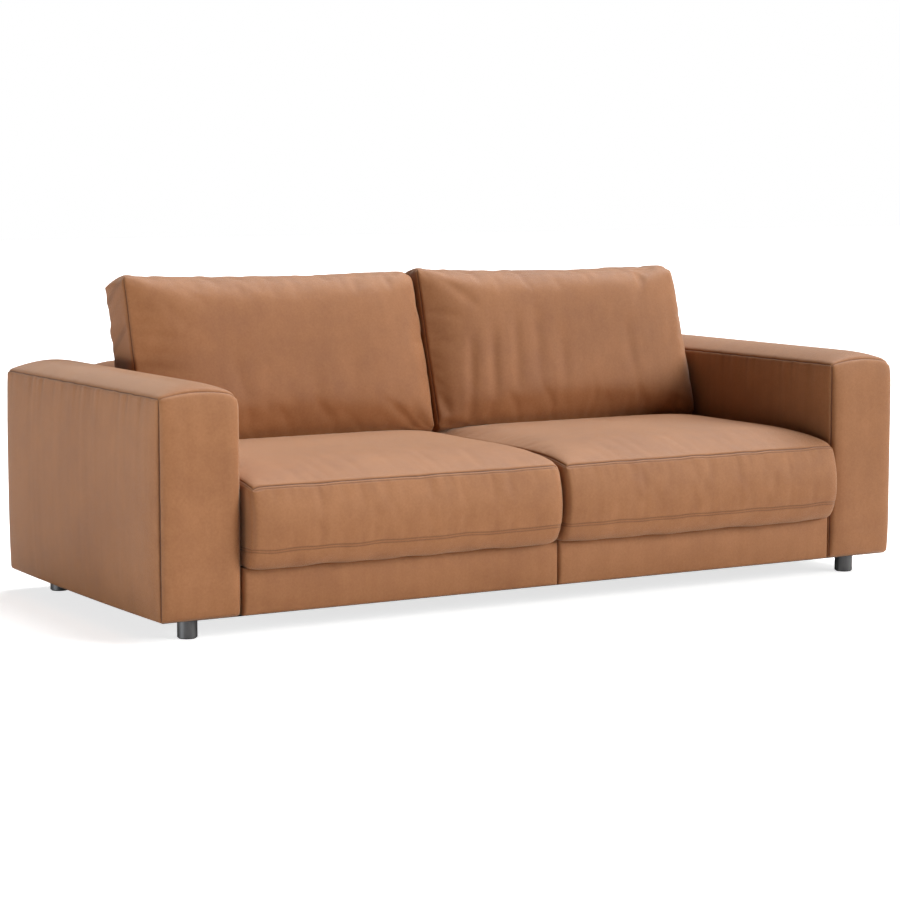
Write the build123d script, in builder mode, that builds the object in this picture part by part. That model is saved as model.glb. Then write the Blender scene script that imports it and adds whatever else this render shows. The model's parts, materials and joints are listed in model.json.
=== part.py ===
"""Two-seat leather sofa: boarded arms and back, webbed seat base, four loose cushions, metal legs.

The sofa stands on z = 0 and faces -y. x runs along its length, with x = 0 on its middle.
All sizes are millimetres. Pieces of the left half are modelled and mirrored to the right half.
"""
import os

from build123d import *

# Outline of the fixed body
sofa_width = 2260.0  # over the top seams of the two arms
arm_length = 996.0  # front of an arm to the rear of the sofa
arm_width = 220.0
arm_height = 600.0  # floor to the top seams of arms and back
arm_crown = 29.0  # rise of an arm's top between its seams, half way along
arm_end_crown = 14.0  # the same rise at the front and rear ends
arm_shoulder_crown = 27.5  # the same rise near the ends
arm_shoulder = 65.0  # ends to those places
arm_swell = 12.0  # belly of an arm's outer side
seat_room = 752.0  # front of an arm to the foot of the inside back
back_rake = 68.0  # how far the inside back leans away by the time it reaches its top seam
back_crown = 20.0  # rise of the back's top between its seams
back_swell = 6.0  # belly of the outside back
edge_round = 12.0  # rounding along the seams of arms and back
end_draw = 4.0  # how far the rounding draws in the end faces of a padded form

# Covers and padding
leather = 2.0
ease = 0.5  # slack between a cover and the padding under it
arm_side_pad = 30.0  # skin to boards on each side of an arm
arm_front_pad = 32.0
arm_rear_pad = 20.0
top_pad = 48.0  # top seam to boards, on arms and back
back_front_pad = 30.0
back_rear_pad = 14.0
border_pad = 26.0  # arm front to the face of the front rail
border_crown = 8.0  # belly of the front borders
border_round = 9.0
border_gap = 3.0  # between the borders, and between a border and an arm
border_split = 9.0  # the seam between the borders lies this far right of the middle

# Boards, rails and webbing
panel_board = 12.0  # arm side panels
frame_board = 22.0  # posts and cross boards
rail_width = 25.0
rail_height = 104.0
block_leg = 60.0  # corner blocks, along each rail
strap_width = 60.0
strap_thickness = 2.0
straps_per_seat = 4
cross_straps = 3
deck_thickness = 10.0
back_sheet = 4.0  # board behind the back posts
dust_cloth = 1.0
dust_inset = 10.0

# Legs
leg_height = 54.0  # floor to the underside of the body
leg_diameter = 50.0
leg_side_inset = 105.0  # outer side of an arm to the middle of its legs
leg_front_inset = 75.0
leg_rear_inset = 96.0
glide_diameter = 44.0
glide_thickness = 3.0
glide_sides = 18
stud_depth = 24.0  # stud length inside a leg

# Bolts that join arms and back to the base
fastener_sides = 8  # hidden round hardware, and the openings for it, are drawn with this many flats
bolt_diameter = 8.0
bolt_play = 0.5  # bolt to the hole through a rail, cover or cleat
thread_play = 0.1  # bolt to the bore of its tee nut
bolt_head_diameter = 15.0
bolt_head_height = 6.0
washer_diameter = 22.0
washer_thickness = 2.0
nut_flange_diameter = 22.0
nut_flange_thickness = 2.0
nut_barrel_diameter = 11.0
nut_barrel_play = 0.2
bolt_tail = 4.0  # bolt end past the flange of its nut
arm_bolts_per_side = 2
arm_bolt_spacing = 420.0
back_bolts_per_seat = 2
back_bolt_spacing = 420.0
cleat_margin = 10.0  # cleat to the edges of the end rail that it faces

# Seat cushions
cushion_gap = 4.0  # seat cushion to arm, to back and to the other cushion
seat_overhang = 66.0  # belly of the cushion's front past the front of the arms
seat_seam_setback = 28.0  # belly to the front top seam
seat_foot_setback = 40.0  # belly to the foot of the front face
seat_boxing = 206.0  # deck to the top seams
seat_crown = 46.0  # rise of the top over its seams, at the middle
seat_end_crown = 30.0  # the same rise at the two sides
seat_shoulder_crown = 41.0  # the same rise near the sides
seat_shoulder = 110.0  # sides to those places
seat_end_draw = 10.0  # how far the front is drawn in at the two sides
seat_round = 16.0

# Back cushions
back_cushion_stand = 605.0  # front of an arm to the foot of the cushion's front face
back_cushion_drop = 407.0  # height of that foot
back_cushion_lean = 16.0  # degrees
back_cushion_height = 470.0
back_cushion_foot_rise = 14.0  # rear bottom seam over the front one, square to the lean
back_cushion_thickness = 132.0
back_cushion_side_gap = 14.0  # cushion to arm
back_cushion_middle_gap = 6.0  # cushion to the other cushion
back_cushion_crown = 34.0  # belly of the front
back_cushion_end_crown = 14.0
back_cushion_shoulder_crown = 31.5
back_cushion_shoulder = 100.0  # sides to the places with that crown
back_cushion_rear_crown = 8.0
back_cushion_top_crown = 8.0
back_cushion_round = 14.0
core_slack = 1.0  # cushion cover to its filling

# Places worked out from those sizes
sofa_front = -(seat_overhang + arm_length) / 2
arm_front = sofa_front + seat_overhang
sofa_rear = arm_front + arm_length
half_width = sofa_width / 2
inner_half = half_width - arm_width
arm_middle = half_width - arm_width / 2
base_top = leg_height + rail_height
deck_top = base_top + 2 * strap_thickness + deck_thickness
rail_front = arm_front + border_pad
back_foot = arm_front + seat_room
board_top = arm_height - top_pad
bolt_height = leg_height + rail_height / 2
bolt_radius = bolt_diameter / 2
play_radius = bolt_radius + bolt_play


def both_ways(half):
    """Stations of one half of a form, from its end to its middle, and their mirror images."""
    return [(-reach, *sizes) for reach, *sizes in half] + list(reversed(half[:-1]))


def arm_form(inset, low, soften=fillet):
    """Outer shape of the left arm, drawn in by inset, down to the height low."""
    half_length = arm_length / 2
    stations = (
        (half_length - inset, inset + end_draw, arm_end_crown),
        (half_length - edge_round, inset, arm_end_crown),
        (half_length - arm_shoulder, inset, arm_shoulder_crown),
        (0, inset, arm_crown),
    )
    with BuildPart() as form:
        for reach, draw, crown in both_ways(stations):
            side = arm_width / 2 - draw
            seam = arm_height - draw
            with BuildSketch(Plane.XZ.offset(-arm_front - half_length - reach)) as section:
                with BuildLine(Location((-arm_middle, 0))):
                    ThreePointArc((-side, seam), (0, seam + crown), (side, seam))
                    Line((side, seam), (side, low))
                    Line((side, low), (-side, low))
                    ThreePointArc((-side, low), (-side - arm_swell, (low + seam) / 2), (-side, seam))
                make_face()
                soften(section.vertices().group_by(Axis.Y)[-1], edge_round)
        loft(ruled=True)
    return form.part


def inside_back(z, pad):
    """y of the raked inside back at the height z, pad behind its face."""
    rise = (z - deck_top) / (arm_height - deck_top)
    return back_foot + pad + back_rake * rise


def back_form(inset, low):
    """Outer shape of the fixed back between the arms, drawn in by inset, down to the height low."""
    half_length = inner_half - inset
    seam = arm_height - inset
    rear = sofa_rear - inset
    front_seam = inside_back(seam, inset)
    with BuildPart() as form:
        with BuildSketch(Plane.YZ.offset(-half_length)):
            with BuildLine():
                Polyline(
                    (rear - back_swell, low),
                    (back_foot + inset, low),
                    (back_foot + inset, deck_top),
                    (front_seam, seam),
                )
                top = ((front_seam + rear - back_swell) / 2, seam + back_crown)
                ThreePointArc((front_seam, seam), top, (rear - back_swell, seam))
                ThreePointArc((rear - back_swell, seam), (rear, (seam + low) / 2), (rear - back_swell, low))
            make_face()
        extrude(amount=2 * half_length)
        seams = form.edges().filter_by(Axis.X).filter_by(lambda edge: edge.center().Z > deck_top + inset)
        fillet(seams, radius=edge_round - inset)
    return form.part


def seat_form(inset, floor, soften=fillet):
    """Outer shape of the left seat cushion, drawn in by inset, with its underside at the height floor."""
    half_length = (inner_half - 1.5 * cushion_gap) / 2
    middle = -cushion_gap / 2 - half_length
    stations = (
        (half_length - inset, inset + end_draw, seat_end_draw, seat_end_crown),
        (half_length - seat_round, inset, seat_end_draw, seat_end_crown),
        (half_length - seat_shoulder, inset, seat_end_draw / 3, seat_shoulder_crown),
        (0, inset, 0, seat_crown),
    )
    with BuildPart() as form:
        for reach, draw, setback, crown in both_ways(stations):
            belly = sofa_front + setback + draw
            rear = back_foot - cushion_gap - draw
            seam = deck_top + seat_boxing - draw
            foot = (belly + seat_foot_setback, floor)
            front_seam = (belly + seat_seam_setback, seam)
            with BuildSketch(Plane.YZ.offset(middle + reach)) as section:
                with BuildLine():
                    ThreePointArc(foot, (belly, (floor + seam) / 2), front_seam)
                    ThreePointArc(front_seam, ((front_seam[0] + rear) / 2, seam + crown), (rear, seam))
                    Line((rear, seam), (rear, floor))
                    Line((rear, floor), foot)
                make_face()
                soften(section.vertices(), seat_round)
        loft(ruled=True)
    return form.part


def back_cushion_form(inset, soften=fillet):
    """Outer shape of the left back cushion, drawn in by inset."""
    half_length = (inner_half - back_cushion_side_gap - back_cushion_middle_gap / 2) / 2
    middle = -back_cushion_middle_gap / 2 - half_length
    stand = Plane(
        origin=(0, arm_front + back_cushion_stand, back_cushion_drop),
        x_dir=Vector(0, 1, 0).rotate(Axis.X, -back_cushion_lean),
        z_dir=(1, 0, 0),
    )
    stations = (
        (half_length - inset, inset + end_draw, back_cushion_end_crown),
        (half_length - back_cushion_round, inset, back_cushion_end_crown),
        (half_length - back_cushion_shoulder, inset, back_cushion_shoulder_crown),
        (0, inset, back_cushion_crown),
    )
    with BuildPart() as form:
        for reach, front, crown in both_ways(stations):
            rear = back_cushion_thickness - front
            foot = front
            rear_foot = foot + back_cushion_foot_rise
            head = back_cushion_height - front
            head_middle = (back_cushion_thickness / 2, head + back_cushion_top_crown)
            with BuildSketch(stand.offset(middle + reach)) as section:
                with BuildLine():
                    ThreePointArc((front, foot), (front - crown, back_cushion_height / 2), (front, head))
                    ThreePointArc((front, head), head_middle, (rear, head))
                    rear_middle = (rear + back_cushion_rear_crown, back_cushion_height / 2)
                    ThreePointArc((rear, head), rear_middle, (rear, rear_foot))
                    Line((rear, rear_foot), (front, foot))
                make_face()
                soften(section.vertices(), back_cushion_round)
        loft(ruled=True)
    return form.part


def board(low, high):
    """Rectangular board between two opposite corners."""
    with BuildPart() as piece:
        with Locations(low):
            Box(*(top - bottom for bottom, top in zip(low, high)), align=(Align.MIN, Align.MIN, Align.MIN))
    return piece.part


def across(profile, length, middle=0.0):
    """Solid of a closed (y, z) outline, length long in x about middle."""
    with BuildPart() as piece:
        with BuildSketch(Plane.YZ.offset(middle - length / 2)):
            with BuildLine():
                Polyline(*profile, close=True)
            make_face()
        extrude(amount=length)
    return piece.part


def rod(start, radius, length):
    """Stud that grows from the plane start along its normal."""
    with BuildPart() as piece:
        with BuildSketch(start):
            RegularPolygon(radius, fastener_sides)
        extrude(amount=length)
    return piece.part


def tee_nut(seat, grip):
    """Tee nut whose flange lies on the plane seat, with its barrel reaching grip back into the board."""
    with BuildPart() as nut:
        with BuildSketch(seat):
            RegularPolygon(nut_flange_diameter / 2, fastener_sides)
        extrude(amount=nut_flange_thickness)
        with BuildSketch(seat):
            RegularPolygon(nut_barrel_diameter / 2, fastener_sides)
        extrude(amount=-grip)
        with BuildSketch(seat.offset(nut_flange_thickness)):
            RegularPolygon(bolt_radius + thread_play, fastener_sides)
        extrude(amount=-grip - nut_flange_thickness, mode=Mode.SUBTRACT)
    return nut.part


def bolt(seat, length):
    """Bolt whose washer lies on the plane seat, with its shank running length into the boards."""
    head_seat = seat.offset(washer_thickness)
    with BuildPart() as piece:
        with BuildSketch(head_seat):
            RegularPolygon(bolt_head_diameter / 2, 6)
        extrude(amount=bolt_head_height)
        with BuildSketch(head_seat):
            RegularPolygon(bolt_radius, fastener_sides)
        extrude(amount=-washer_thickness - length)
    return piece.part


def washer(seat):
    """Washer on the plane seat."""
    with BuildPart() as ring:
        with BuildSketch(seat):
            RegularPolygon(washer_diameter / 2, fastener_sides)
            RegularPolygon(play_radius, fastener_sides, mode=Mode.SUBTRACT)
        extrude(amount=washer_thickness)
    return ring.part


def bored(piece, starts, radius, depth):
    """The piece with a hole of that radius and depth drilled from each plane, against its normal."""
    with BuildPart() as drilled:
        add(piece)
        for start in starts:
            with BuildSketch(start):
                RegularPolygon(radius, fastener_sides)
            extrude(amount=-depth, mode=Mode.SUBTRACT)
    return drilled.part


def cut(piece, *tools):
    """The piece with each tool taken away."""
    with BuildPart() as rest:
        add(piece)
        for tool in tools:
            add(tool, mode=Mode.SUBTRACT)
    return rest.part


def group(pieces):
    """Separate solids kept together as one node."""
    return Compound(children=list(pieces))


def mirrored(piece):
    """The same piece on the right half."""
    with BuildPart() as other:
        mirror(piece, about=Plane.YZ)
    return other.part


def write(piece, label):
    """Name a finished piece and write it."""
    piece.label = label
    export_step(piece, f"parts/{label}.step")


def write_pair(piece, label):
    """Write a left piece and its mirror image."""
    write(piece, f"left_{label}")
    write(mirrored(piece), f"right_{label}")


os.makedirs("parts", exist_ok=True)
below = leg_height - leather  # a cut that starts here leaves the underside open

# Bolt places: each plane lies on the inner face of a base rail and points into the base
arm_bolt_first = (rail_front + back_foot) / 2 - arm_bolt_spacing * (arm_bolts_per_side - 1) / 2
arm_bolt_seats = [
    Plane(
        origin=(-inner_half + rail_width, arm_bolt_first + arm_bolt_spacing * step, bolt_height),
        z_dir=(1, 0, 0),
    )
    for step in range(arm_bolts_per_side)
]
back_bolt_first = inner_half / 2 - back_bolt_spacing * (back_bolts_per_seat - 1) / 2
back_bolt_seats = [
    Plane(
        origin=(side * (back_bolt_first + back_bolt_spacing * step), back_foot - rail_width, bolt_height),
        z_dir=(0, -1, 0),
    )
    for side in (-1, 1)
    for step in range(back_bolts_per_seat)
]
arm_grip = rail_width + arm_side_pad + panel_board  # rail, cover, cleat and side panel
back_grip = rail_width + leather + frame_board  # rail, cover and bottom rail of the back

# Arm: leather over foam over a hollow box of boards
panel_outer = -half_width + arm_side_pad
panel_inner = -inner_half - arm_side_pad
post_front = arm_front + arm_front_pad
post_rear = sofa_rear - arm_rear_pad
cleat_low = (panel_inner, rail_front + cleat_margin, leg_height + cleat_margin)
cleat_high = (-inner_half - leather, back_foot - cleat_margin, base_top - cleat_margin)
arm_box = board((panel_outer, post_front, below), (panel_inner, post_rear, board_top))

arm_cover = cut(arm_form(0, leg_height), arm_form(leather, below, chamfer))
write_pair(bored(arm_cover, arm_bolt_seats, play_radius, rail_width + leather), "arm_cover")
arm_padding = arm_form(leather + ease, leg_height, chamfer)
write_pair(cut(arm_padding, arm_box, board(cleat_low, cleat_high)), "arm_foam")
write_pair(
    board((panel_outer, post_front, leg_height), (panel_outer + panel_board, post_rear, board_top)),
    "arm_outer_panel",
)
inner_panel = board((panel_inner - panel_board, post_front, leg_height), (panel_inner, post_rear, board_top))
barrel_hole = nut_barrel_diameter / 2 + nut_barrel_play
write_pair(bored(inner_panel, arm_bolt_seats, barrel_hole, arm_grip), "arm_inner_panel")
write_pair(bored(board(cleat_low, cleat_high), arm_bolt_seats, play_radius, arm_grip), "arm_cleat")

board_left = panel_outer + panel_board
board_right = panel_inner - panel_board
write_pair(
    board((board_left, post_front, leg_height), (board_right, post_front + frame_board, board_top)),
    "arm_front_post",
)
write_pair(
    board((board_left, post_rear - frame_board, leg_height), (board_right, post_rear, board_top)),
    "arm_rear_post",
)
write_pair(
    board(
        (board_left, post_front + frame_board, board_top - frame_board),
        (board_right, post_rear - frame_board, board_top),
    ),
    "arm_top_board",
)

# Legs: each is screwed to a tee nut in the arm's bottom board by a stud
leg_places = {
    "front": (-half_width + leg_side_inset, arm_front + leg_front_inset),
    "rear": (-half_width + leg_side_inset, sofa_rear - leg_rear_inset),
}
leg_tops = [Plane(origin=(x, y, leg_height)) for x, y in leg_places.values()]
board_floor = leg_height + frame_board
nut_seats = [top.offset(frame_board) for top in leg_tops]
bottom_board = board(
    (board_left, post_front + frame_board, leg_height),
    (board_right, post_rear - frame_board, board_floor),
)
write_pair(bored(bottom_board, nut_seats, barrel_hole, frame_board), "arm_bottom_board")
for end, (x, y) in leg_places.items():
    with BuildPart() as leg:
        with BuildSketch(Plane(origin=(x, y, glide_thickness))):
            Circle(leg_diameter / 2)
        extrude(amount=leg_height - glide_thickness)
        with BuildSketch(Plane(origin=(x, y, leg_height))):
            RegularPolygon(bolt_radius + thread_play, fastener_sides)
        extrude(amount=-stud_depth, mode=Mode.SUBTRACT)
    write(leg.part, f"{end}_left_leg")
    write(mirrored(leg.part), f"{end}_right_leg")
studs = [rod(top.offset(-stud_depth), bolt_radius, stud_depth + frame_board) for top in leg_tops]
glides = []
for x, y in leg_places.values():
    with BuildPart() as glide:
        with BuildSketch(Plane(origin=(x, y, 0))):
            RegularPolygon(glide_diameter / 2, glide_sides)
        extrude(amount=glide_thickness)
    glides.append(glide.part)
leg_nuts = [tee_nut(seat, frame_board / 2) for seat in nut_seats]
for label, left_pieces in {"leg_studs": studs, "leg_glides": glides, "leg_tee_nuts": leg_nuts}.items():
    write(group(left_pieces + [mirrored(piece) for piece in left_pieces]), label)

# Seat base: a rail frame under webbing and a felted deck
rail_rear = back_foot - rail_width
rail_end = inner_half - rail_width
cross_top = base_top + strap_thickness
front_rail = board((-rail_end, rail_front, leg_height), (rail_end, rail_front + rail_width, base_top))
write(front_rail, "front_rail")
rear_rail = board((-rail_end, rail_rear, leg_height), (rail_end, back_foot, base_top))
write(bored(rear_rail, back_bolt_seats, play_radius, rail_width), "rear_rail")
end_rail = board((-inner_half, rail_front, leg_height), (-rail_end, back_foot, cross_top))
write_pair(bored(end_rail, arm_bolt_seats, play_radius, rail_width), "end_rail")
middle_rail = board(
    (-rail_width / 2, rail_front + rail_width, leg_height),
    (rail_width / 2, rail_rear, cross_top),
)
write(middle_rail, "middle_rail")

with BuildPart() as corner_block:
    with BuildSketch(Plane.XY.offset(leg_height)):
        with BuildLine():
            Polyline((0, 0), (block_leg, 0), (0, block_leg), close=True)
        make_face()
    extrude(amount=rail_height)
front_block = corner_block.part.moved(Location((-rail_end, rail_front + rail_width, 0)))
rear_block = mirror(corner_block.part, about=Plane.XZ).moved(Location((-rail_end, rail_rear, 0)))
blocks = [front_block, rear_block]
write(group(blocks + [mirrored(piece) for piece in blocks]), "corner_blocks")

strap_pitch = rail_end / straps_per_seat
strap_places = [-rail_end + strap_pitch * (step + 0.5) for step in range(straps_per_seat)]
long_straps = [
    board((x - strap_width / 2, rail_front, base_top), (x + strap_width / 2, back_foot, cross_top))
    for x in strap_places
]
write(group(long_straps + [mirrored(strap) for strap in long_straps]), "seat_webbing_lengthwise")
cross_pitch = (back_foot - rail_front) / (cross_straps + 1)
wide_straps = []
for step in range(cross_straps):
    y = rail_front + cross_pitch * (step + 1)
    low = (-inner_half, y - strap_width / 2, cross_top)
    wide_straps.append(board(low, (inner_half, y + strap_width / 2, cross_top + strap_thickness)))
write(group(wide_straps), "seat_webbing_crosswise")
deck_floor = deck_top - deck_thickness
write(board((-inner_half, rail_front, deck_floor), (inner_half, back_foot, deck_top)), "seat_deck")


def border_form(start, end, inset, rear, soften=fillet):
    """Padded front border from x = start to end, drawn in by inset, back to the plane y = rear."""
    half_length = (end - start) / 2
    ends = ((half_length - inset, inset + end_draw), (half_length - border_round, inset))
    stations = [(-reach, draw) for reach, draw in ends] + list(reversed(ends))
    with BuildPart() as form:
        for reach, draw in stations:
            face = arm_front + draw
            low = leg_height + draw
            high = deck_top - draw
            with BuildSketch(Plane.YZ.offset((start + end) / 2 + reach)) as section:
                with BuildLine():
                    Polyline((face, high), (rear, high), (rear, low), (face, low))
                    ThreePointArc((face, low), (face - border_crown, (low + high) / 2), (face, high))
                make_face()
                soften(section.vertices().group_by(Axis.X)[0], border_round)
        loft(ruled=True)
    return form.part


border_ends = {
    "left": (-inner_half + border_gap, border_split - border_gap / 2),
    "right": (border_split + border_gap / 2, inner_half - border_gap),
}
for side, (start, end) in border_ends.items():
    skin = border_form(start, end, 0, rail_front)
    hollow = border_form(start, end, leather, rail_front + leather, chamfer)
    write(cut(skin, hollow), f"{side}_front_border_cover")
    write(border_form(start, end, leather, rail_front, chamfer), f"{side}_front_border_foam")

# Fixed back: leather over foam, webbing on three raked posts between two long rails
slope_low = (inside_back(base_top, back_front_pad), base_top)
slope_high = (inside_back(board_top, back_front_pad), board_top)
sheet_rear = sofa_rear - back_swell - back_rear_pad
sheet_front = sheet_rear - back_sheet
back_length = 2 * (inner_half - leather - ease)
rail_face = back_foot + leather
foot_rear = rail_face + frame_board
under_rail = board_top - frame_board

back_frame = across(
    (
        (rail_face, below),
        (rail_face, base_top),
        slope_low,
        slope_high,
        (sheet_rear, board_top),
        (sheet_rear, below),
    ),
    2 * inner_half,
)
back_cover = cut(back_form(0, leg_height), back_form(leather, below))
write(bored(back_cover, back_bolt_seats, play_radius, rail_width + leather), "back_cover")
write(cut(back_form(leather + ease, leg_height), back_frame), "back_foam")
back_bottom_rail = across(
    ((rail_face, leg_height), (rail_face, base_top), (foot_rear, base_top), (foot_rear, leg_height)),
    back_length,
)
write(bored(back_bottom_rail, back_bolt_seats, barrel_hole, back_grip), "back_bottom_rail")
write(
    across(
        (
            (inside_back(under_rail, back_front_pad) + strap_thickness, under_rail),
            (slope_high[0] + strap_thickness, board_top),
            (sheet_front, board_top),
            (sheet_front, under_rail),
        ),
        back_length,
    ),
    "back_top_rail",
)
post_profile = (
    (foot_rear, leg_height),
    (foot_rear, base_top),
    (slope_low[0] + strap_thickness, base_top),
    (inside_back(under_rail, back_front_pad) + strap_thickness, under_rail),
    (sheet_front, under_rail),
    (sheet_front, leg_height),
)
post_reach = (back_length - frame_board) / 2
posts = [across(post_profile, frame_board, middle) for middle in (-post_reach, 0, post_reach)]
write(group(posts), "back_posts")
back_strap_profile = (
    slope_low,
    slope_high,
    (slope_high[0] + strap_thickness, board_top),
    (slope_low[0] + strap_thickness, base_top),
)
back_straps = [across(back_strap_profile, strap_width, x) for x in strap_places]
write(group(back_straps + [mirrored(strap) for strap in back_straps]), "back_webbing")
write(
    across(
        (
            (sheet_front, leg_height),
            (sheet_front, board_top),
            (sheet_rear, board_top),
            (sheet_rear, leg_height),
        ),
        back_length,
    ),
    "back_sheet",
)

# Bolts, washers and tee nuts
arm_nut_seats = [Plane(origin=seat.offset(-arm_grip).origin, z_dir=-seat.z_dir) for seat in arm_bolt_seats]
arm_shank = arm_grip + nut_flange_thickness + bolt_tail
arm_bolts = [bolt(seat, arm_shank) for seat in arm_bolt_seats]
arm_nuts = [tee_nut(seat, panel_board) for seat in arm_nut_seats]
arm_washers = [washer(seat) for seat in arm_bolt_seats]
back_nut_seats = [
    Plane(origin=seat.offset(-back_grip).origin, z_dir=-seat.z_dir) for seat in back_bolt_seats
]
back_shank = back_grip + nut_flange_thickness + bolt_tail
write(group(arm_bolts + [mirrored(piece) for piece in arm_bolts]), "arm_bolts")
write(group(arm_nuts + [mirrored(piece) for piece in arm_nuts]), "arm_tee_nuts")
write(group([bolt(seat, back_shank) for seat in back_bolt_seats]), "back_bolts")
write(group([tee_nut(seat, frame_board) for seat in back_nut_seats]), "back_tee_nuts")
back_washers = [washer(seat) for seat in back_bolt_seats]
write(group(arm_washers + [mirrored(piece) for piece in arm_washers] + back_washers), "bolt_washers")

# Dust cloth under the whole body, with an opening round each leg
with BuildPart() as dust_cover:
    with BuildSketch(Plane.XY.offset(leg_height - dust_cloth)):
        with Locations((0, (arm_front + sofa_rear) / 2)):
            Rectangle(sofa_width - 2 * dust_inset, arm_length - 2 * dust_inset)
        for x, y in leg_places.values():
            with Locations((x, y), (-x, y)):
                opening = leg_diameter / 2 + dust_cloth
                RegularPolygon(opening, fastener_sides, major_radius=False, mode=Mode.SUBTRACT)
    extrude(amount=dust_cloth)
write(dust_cover.part, "dust_cover")

# Loose cushions: a leather case round a filling
seat_case = cut(seat_form(0, deck_top), seat_form(leather, deck_top + leather, chamfer))
write_pair(seat_case, "seat_cover")
write_pair(seat_form(leather + core_slack, deck_top + leather, chamfer), "seat_core")
back_case = cut(back_cushion_form(0), back_cushion_form(leather, chamfer))
write_pair(back_case, "back_cushion_cover")
write_pair(back_cushion_form(leather + core_slack, chamfer), "back_cushion_core")
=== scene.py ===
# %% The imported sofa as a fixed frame
import json
import math
import random

import bpy
import numpy as np
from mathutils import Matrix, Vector
from mathutils.bvhtree import BVHTree


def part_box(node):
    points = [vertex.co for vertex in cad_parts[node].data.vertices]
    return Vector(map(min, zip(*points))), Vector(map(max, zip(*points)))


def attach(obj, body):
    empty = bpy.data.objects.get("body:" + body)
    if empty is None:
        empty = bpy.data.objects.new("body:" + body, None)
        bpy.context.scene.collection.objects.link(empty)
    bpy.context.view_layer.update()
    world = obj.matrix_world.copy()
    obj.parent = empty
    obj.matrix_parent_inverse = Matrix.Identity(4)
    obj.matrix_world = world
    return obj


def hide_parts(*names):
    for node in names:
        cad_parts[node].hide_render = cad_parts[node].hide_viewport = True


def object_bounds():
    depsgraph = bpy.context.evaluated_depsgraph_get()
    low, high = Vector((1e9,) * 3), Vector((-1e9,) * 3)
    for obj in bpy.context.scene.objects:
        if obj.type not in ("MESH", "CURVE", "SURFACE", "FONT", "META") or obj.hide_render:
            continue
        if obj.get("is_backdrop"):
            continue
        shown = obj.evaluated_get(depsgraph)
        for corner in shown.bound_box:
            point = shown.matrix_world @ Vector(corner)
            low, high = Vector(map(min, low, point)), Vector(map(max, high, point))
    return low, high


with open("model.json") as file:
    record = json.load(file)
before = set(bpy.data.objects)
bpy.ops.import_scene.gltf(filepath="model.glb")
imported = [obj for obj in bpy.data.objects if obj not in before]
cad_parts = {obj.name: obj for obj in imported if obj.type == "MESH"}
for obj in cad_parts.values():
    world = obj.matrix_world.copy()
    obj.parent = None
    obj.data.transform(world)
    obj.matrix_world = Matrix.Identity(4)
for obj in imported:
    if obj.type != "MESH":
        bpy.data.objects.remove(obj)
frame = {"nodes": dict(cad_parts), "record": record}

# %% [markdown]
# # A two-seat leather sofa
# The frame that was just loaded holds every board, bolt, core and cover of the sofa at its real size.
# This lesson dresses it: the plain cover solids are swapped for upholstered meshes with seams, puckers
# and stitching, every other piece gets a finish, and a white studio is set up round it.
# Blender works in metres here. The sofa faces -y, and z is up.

cad_low, cad_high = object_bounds()
mm = 0.001
print("frame:", len(frame["nodes"]), "nodes, box", [round(v, 3) for v in (*cad_low, *cad_high)])

# %% [markdown]
# ## Reading and writing the points of a mesh
# A cushion is easiest to shape when all its points are one table of numbers: one row a point, with
# x, y and z. The first helpers fetch such a table from a mesh and put it back. The last one selects a
# piece, because Blender's operators work on what is selected.


# %% Points of a mesh as a table
def read_points(piece):
    table = np.empty(len(piece.data.vertices) * 3)
    piece.data.vertices.foreach_get("co", table)
    return table.reshape(-1, 3)


def write_points(piece, points):
    piece.data.vertices.foreach_set("co", np.asarray(points, float).ravel())
    piece.data.update()


def read_normals(piece):
    table = np.empty(len(piece.data.vertices) * 3)
    piece.data.vertex_normals.foreach_get("vector", table)
    return table.reshape(-1, 3)


def pick(piece):
    """Make a piece the only selected one, for the operators that work on the selection."""
    bpy.ops.object.select_all(action="DESELECT")
    piece.select_set(True)
    bpy.context.view_layer.objects.active = piece


# %% [markdown]
# ## A block with a fine net of edges
# Every upholstered piece starts as a cube at its size and place. Subdividing the edges of one direction
# at a time keeps all faces four-sided. Bisect then adds single cuts where a seam will run, so that the
# seam has points of its own. The flat place of each point is kept as an attribute, "laid", because later
# steps ask which panel a point belongs to, long after the shape has changed.


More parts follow.
